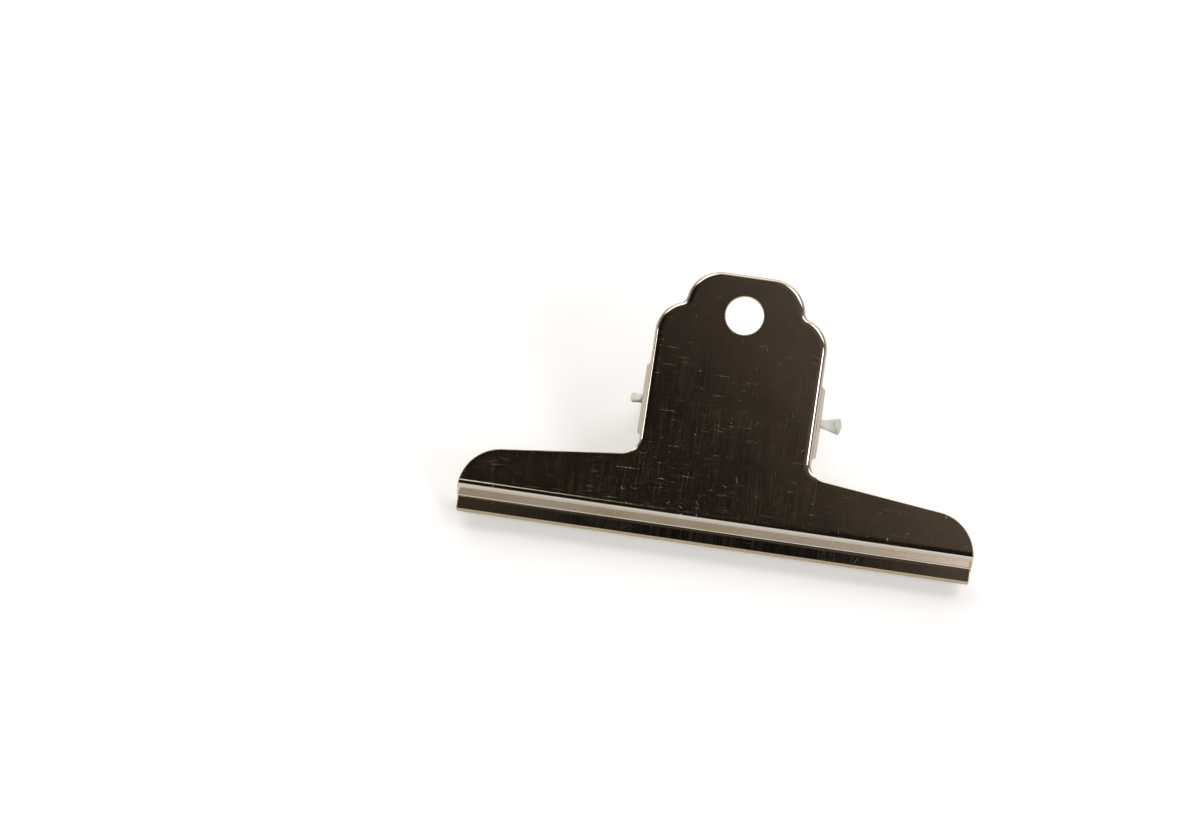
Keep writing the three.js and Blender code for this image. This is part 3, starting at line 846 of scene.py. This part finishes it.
def fanRings(side, length, turn, spread):
    neck = tongueHalf + plate["sheet"] + plate["earClearance"] + pin["fanGap"]
    straight = length - pin["fanBulge"] - pin["tipRound"]
    rings = []
    for row in range(pin["rows"] + 1):
        share = row / pin["rows"]
        flat = eased(min(share / pin["thinning"], 1))
        halfWidth = pin["radius"] + (pin["fanWidth"] / 2 - pin["radius"]) * share ** spread
        halfThickness = pin["radius"] + (pin["fanThickness"] / 2 - pin["radius"]) * flat
        rings.append(pinRing(side * (neck + straight * share), halfWidth, halfThickness, turn,
                             pin["fanBulge"] * share))
    for row in range(1, pin["tipRows"] + 1):
        angle = math.pi / 2 * row / pin["tipRows"]
        inset = pin["tipRound"] * (1 - math.cos(angle))
        x = neck + straight + pin["tipRound"] * math.sin(angle)
        rings.append(pinRing(side * x, halfWidth - inset, halfThickness - inset, turn, pin["fanBulge"]))
    return rings


def fanCap(start, count):
    # closes a ring with strips across it, from one narrow side to the other
    faces = []
    for side in range(count // 2):
        corners = (side, side + 1, count - side - 1, (count - side) % count)
        faces.append([start + corner for corner in dict.fromkeys(corners)])
    return faces


def addPin(finish):
    ends = []
    for side, name in ((-1, "left"), (1, "right")):
        turn = math.radians(pin["fanTurn"][name])
        ends.append(fanRings(side, pin["fanLength"][name], turn, pin["fanSpread"][name]))
    rings = ends[0][::-1] + ends[1]
    count = pin["sides"]
    points = [point for ring in rings for point in ring]
    faces = []
    for ring in range(len(rings) - 1):
        for side in range(count):
            first, second = ring * count + side, ring * count + (side + 1) % count
            faces.append((first, second, second + count, first + count))
    faces += fanCap(0, count) + fanCap((len(rings) - 1) * count, count)
    mesh = bpy.data.meshes.new("pivotPin")
    mesh.from_pydata(points, [], faces)
    mesh.transform(Matrix.Scale(mm, 4) @ Matrix.Translation((0, 0, pinDepth)))
    smoothByAngle(mesh, pin["crispAngle"])
    mesh.materials.append(finish)
    obj = linked("pivotPin", mesh)
    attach(obj, "rear")
    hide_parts("pivot_pin")
    print("stage: pin", len(mesh.polygons), "faces")


# Double torsion spring: each half is swept along its route by a geometry tree

spring = {                             # mm and degrees
    "wireDiameter": 1.3,
    "coilRadius": 2.75,
    "coilPitch": 1.8,
    "fullTurns": 4,
    "coilInner": 3.5,
    "bridgeReach": 43.4,
    "footReach": 47.4,
    "footLength": 3.4,
    "footTurn": 39,
    "bend": 1.5,
    "seat": 0.3,
    "stepsPerTurn": 48,
    "bendSteps": 12,
    "wireSides": 20,
    "crispAngle": 40,
}


def roundedRoute(points):
    route = [points[0]]
    for before, corner, after in zip(points, points[1:], points[2:]):
        arriving = (corner - before).normalized()
        leaving = (after - corner).normalized()
        swing = arriving.angle(leaving)
        start = corner - arriving * spring["bend"] * math.tan(swing / 2)
        inwards = (leaving - arriving).normalized()
        centre = corner + inwards * spring["bend"] / math.cos(swing / 2)
        axis = arriving.cross(leaving).normalized()
        for step in range(spring["bendSteps"] + 1):
            spoke = start - centre
            spoke.rotate(Matrix.Rotation(swing * step / spring["bendSteps"], 3, axis))
            route.append(centre + spoke)
    route.append(points[-1])
    return route


def springHalf():
    # from a foot on the rear tongue to the middle of the bridge, about the pin, at negative x
    seat = plate["sheet"] + spring["seat"] + spring["wireDiameter"] / 2 - pinDepth
    knee = (spring["footReach"] - pinHeight, seat)
    turned = Matrix.Rotation(2 * lean, 2) @ Vector((spring["bridgeReach"] - pinHeight, -seat))
    bridge = tuple(turned)
    legTouch = touchPoint(knee, (0, 0), spring["coilRadius"], -1)
    bridgeTouch = touchPoint(bridge, (0, 0), spring["coilRadius"], 1)
    start, end = angleTo((0, 0), legTouch), angleTo((0, 0), bridgeTouch)
    while end > start:
        end -= 2 * math.pi
    sweep = end - start - 2 * math.pi * spring["fullTurns"]
    turns = abs(sweep) / (2 * math.pi)
    outer = spring["coilInner"] + spring["coilPitch"] * turns
    swing = math.radians(spring["footTurn"])
    toe = Vector((-outer - spring["footLength"] * math.sin(swing),
                  knee[0] + spring["footLength"] * math.cos(swing), knee[1]))
    leg = roundedRoute([toe, Vector((-outer, *knee)), Vector((-outer, *legTouch))])
    coil = []
    steps = round(spring["stepsPerTurn"] * turns)
    for step in range(steps + 1):
        angle = start + sweep * step / steps
        coil.append(Vector((-outer + (outer - spring["coilInner"]) * step / steps,
                            spring["coilRadius"] * math.cos(angle),
                            spring["coilRadius"] * math.sin(angle))))
    inner = -spring["coilInner"]
    corners = ((inner, *bridgeTouch), (inner, *bridge), (0, *bridge))
    crossing = roundedRoute([Vector(corner) for corner in corners])
    return leg[:-1] + coil + crossing[1:], outer


def wireTree(finish):
    tree = bpy.data.node_groups.new("wireSweep", "GeometryNodeTree")
    tree.interface.new_socket("Geometry", in_out="INPUT", socket_type="NodeSocketGeometry")
    tree.interface.new_socket("Wire Radius", in_out="INPUT", socket_type="NodeSocketFloat")
    tree.interface.new_socket("Wire Sides", in_out="INPUT", socket_type="NodeSocketInt")
    tree.interface.new_socket("Geometry", in_out="OUTPUT", socket_type="NodeSocketGeometry")
    nodes = Nodes(tree)
    given = nodes.make("NodeGroupInput")
    route = nodes.make("GeometryNodeMeshToCurve", None, {0: given.outputs["Geometry"]})
    section = nodes.make("GeometryNodeCurvePrimitiveCircle", None, {
        "Resolution": given.outputs["Wire Sides"],
        "Radius": given.outputs["Wire Radius"],
    })
    swept = nodes.make("GeometryNodeCurveToMesh", None, {
        "Curve": route.outputs[0],
        "Profile Curve": section.outputs[0],
        "Fill Caps": True,
    })
    smooth = nodes.make("GeometryNodeSetShadeSmooth", None, {"Geometry": swept.outputs[0]})
    real = nodes.make("GeometryNodeRealizeInstances", None, {0: smooth.outputs[0]})
    dressed = nodes.make("GeometryNodeSetMaterial", None, {
        "Geometry": real.outputs[0],
        "Material": finish,
    })
    nodes.make("NodeGroupOutput", None, {0: dressed.outputs[0]})
    return tree


def addSpring(finish):
    tree = wireTree(finish)
    route, outer = springHalf()
    for side, name in ((1, "springLeft"), (-1, "springRight")):
        path = bpy.data.meshes.new(name + "Route")
        places = [(side * point.x * mm, point.y * mm, (point.z + pinDepth) * mm) for point in route]
        path.from_pydata(places, [(i, i + 1) for i in range(len(route) - 1)], [])
        obj = linked(name, path)
        sweep = obj.modifiers.new("sweep", "NODES")
        sweep.node_group = tree
        inputs = [item for item in tree.interface.items_tree if item.in_out == "INPUT"]
        sockets = {item.name: item.identifier for item in inputs}
        sweep[sockets["Wire Radius"]] = spring["wireDiameter"] / 2 * mm
        sweep[sockets["Wire Sides"]] = spring["wireSides"]
        obj.data = evaluatedMesh(obj, name)
        smoothByAngle(obj.data, spring["crispAngle"])
        start = (-side * outer * mm, 0, 0)
        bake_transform(obj)
        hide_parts("torsion_spring")
        print("stage:", name, len(obj.data.polygons), "faces")


# Table, room and lamps

room = {                               # colours of light by the direction it comes from
    "tableSize": 6.0,                  # m
    "table": (0.86, 0.86, 0.865),
    "tableDarkest": 0.985,             # share of that colour
    "tableMottle": 4,                  # per metre
    "tableSeen": (0.985, 0.985, 1.0),  # what the camera and mirrors see, so that the table is white
    "tableGlow": 0.28,                 # added to it
    "wall": (1.02, 0.99, 0.99),
    "rearWall": (1.6, 1.54, 1.45),
    "rearWallFrom": (-0.3, 0.3),       # from front to behind
    "sideWall": (0.28, 0.265, 0.27),
    "sideWallFrom": (0.35, 0.75),      # from the middle to either side
    "wallTop": (0.53, 0.62),           # height at which walls end, in front lower than behind
    "wallSlope": 0.215,
    "ceilingLeft": (0.062, 0.050, 0.038),
    "ceilingRight": (0.140, 0.112, 0.090),
    "rightFrom": (-0.08, 0.05),        # from left to right
    "rearCeiling": (0.30, 0.25, 0.18),
    "rearCeilingFrom": (0.15, 0.7),
    "shadedCeiling": (0.017, 0.0130, 0.0098),
    "shadedTo": (-0.653, -0.626),      # along a slanting line
    "shadedSlant": 1.3,
    "frontGloom": (0.014, 0.0095, 0.0075),   # between the front wall and the shaded ceiling
    "gloomTo": (0.72, 0.86),           # height at which it ends
    "gloomBehind": (-0.35, -0.15),     # and how far to the rear
}

patches = {                            # round places in the room: direction, inner and outer radius, light
    "rightFront": ((0.20, -0.93, 0.28), (0.165, 0.195), (2.5, 2.45, 2.55)),
    "overhead": ((-0.020, 0.08, 0.997), (0.037, 0.056), (0.004, 0.003, 0.004)),
    "leftFront": ((-0.107, -0.60, 0.793), (0.042, 0.060), (2.6, 2.3, 1.85)),
}

lamps = {                              # place and size in m, power in W
    "rightWindow": {"place": (1.6, -1.0, 1.48), "size": 0.8, "power": 13, "colour": (1, 0.99, 0.98)},
    "leftWindow": {"place": (-2.2, -0.54, 0.80), "size": 0.6, "power": 5.5, "colour": (1, 0.98, 0.94)},
    "rearRight": {"place": (1.41, 0.72, 1.79), "size": 1.4, "power": 16, "colour": (1, 0.99, 0.98)},
    "rearLeft": {"place": (-1.25, 1.2, 1.65), "size": 1.4, "power": 13, "colour": (1, 0.98, 0.94)},
}


def addTable():
    half = room["tableSize"] / 2
    mesh = bpy.data.meshes.new("table")
    corners = [(-half, -half, 0), (half, -half, 0), (half, half, 0), (-half, half, 0)]
    mesh.from_pydata(corners, [], [(0, 1, 2, 3)])
    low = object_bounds()[0].z
    mesh.transform(Matrix.Translation((0, 0, low)))
    obj = linked("table", mesh)
    material, nodes = newMaterial("tableTop")
    place = nodes.make("ShaderNodeTexCoord").outputs["Object"]
    mottle = nodes.value("ShaderNodeTexNoise", "Fac", None, {
        "Vector": place,
        "Scale": room["tableMottle"],
        "Detail": 3,
    })
    darkest = tuple(room["tableDarkest"] * part for part in room["table"])
    colour = nodes.blendColour(mottle, room["table"], darkest)
    path = nodes.make("ShaderNodeLightPath").outputs
    seen = Value(nodes, path["Is Camera Ray"]).largest(Value(nodes, path["Is Glossy Ray"]))
    seen = seen.largest(Value(nodes, path["Is Transmission Ray"]))
    matt = nodes.make("ShaderNodeBsdfDiffuse", None, {
        "Color": nodes.blendColour(seen, colour, room["tableSeen"]),
    })
    glow = nodes.make("ShaderNodeEmission", None, {"Strength": seen * room["tableGlow"]})
    both = nodes.make("ShaderNodeAddShader", None, {0: matt.outputs[0], 1: glow.outputs[0]})
    nodes.make("ShaderNodeOutputMaterial", None, {"Surface": both.outputs[0]})
    mesh.materials.append(material)


def addRoom():
    world = bpy.data.worlds.new("room")
    world.use_nodes = True
    bpy.context.scene.world = world
    nodes = Nodes(world.node_tree)
    place = nodes.make("ShaderNodeTexCoord").outputs["Generated"]
    parts = nodes.make("ShaderNodeSeparateXYZ", None, {0: place}).outputs
    across, behind, height = (Value(nodes, part) for part in parts)

    blend = nodes.blendColour
    tilted = height - room["wallSlope"] * behind
    slanted = across + room["shadedSlant"] * behind
    gloomEnd = tilted.band(*room["gloomTo"]).largest(behind.band(*room["gloomBehind"]))

    ceiling = blend(across.band(*room["rightFrom"]), room["ceilingLeft"], room["ceilingRight"])
    ceiling = blend(behind.band(*room["rearCeilingFrom"]), ceiling, room["rearCeiling"])
    ceiling = blend(slanted.band(*room["shadedTo"]), room["shadedCeiling"], ceiling)
    ceiling = blend(gloomEnd, room["frontGloom"], ceiling)
    wall = blend(behind.band(*room["rearWallFrom"]), room["wall"], room["rearWall"])
    wall = blend(across.size().band(*room["sideWallFrom"]), wall, room["sideWall"])
    colour = blend(tilted.band(*room["wallTop"]), wall, ceiling)
    for direction, radii, patchLight in patches.values():
        away = nodes.value("ShaderNodeVectorMath", "Value", {"operation": "DISTANCE"},
                           {0: place, 1: direction})
        colour = blend(away.band(*radii), patchLight, colour)
    light = nodes.make("ShaderNodeBackground", None, {"Color": colour, "Strength": 1.0})
    nodes.make("ShaderNodeOutputWorld", None, {"Surface": light.outputs[0]})


def addLamps():
    target = Vector((0, 0, pinDepth * mm))
    for name, values in lamps.items():
        data = bpy.data.lights.new(name, "AREA")
        data.shape = "RECTANGLE"
        data.size = data.size_y = values["size"]
        data.energy = values["power"]
        data.color = values["colour"]
        obj = bpy.data.objects.new(name, data)
        place = Vector(values["place"])
        obj.location = place
        obj.rotation_euler = (place - target).to_track_quat("Z", "Y").to_euler()
        bpy.context.scene.collection.objects.link(obj)


addCamera(camera)
plateNickel = makePlateFinish(plateFinish)
rodNickel = makeWireFinish("rodNickel", pinFinish)
springNickel = makeWireFinish("springNickel", wireFinish)
print("stage: finishes made")

earStep = plate["sheet"] + plate["earClearance"]
turnedOver = Matrix.Rotation(2 * lean, 4, "X") @ Matrix.Rotation(math.pi, 4, "Y")
addPlate("rearPlate", "rear_plate", "rear", 0.0, Matrix.Identity(4), plateNickel)
addPlate("frontPlate", "front_plate", "front", earStep, turnedOver, plateNickel)
addPin(rodNickel)
addSpring(springNickel)
addTable()
addRoom()
addLamps()
bpy.context.scene.view_settings.view_transform = "Standard"
print("stage: table, room and lamps set")
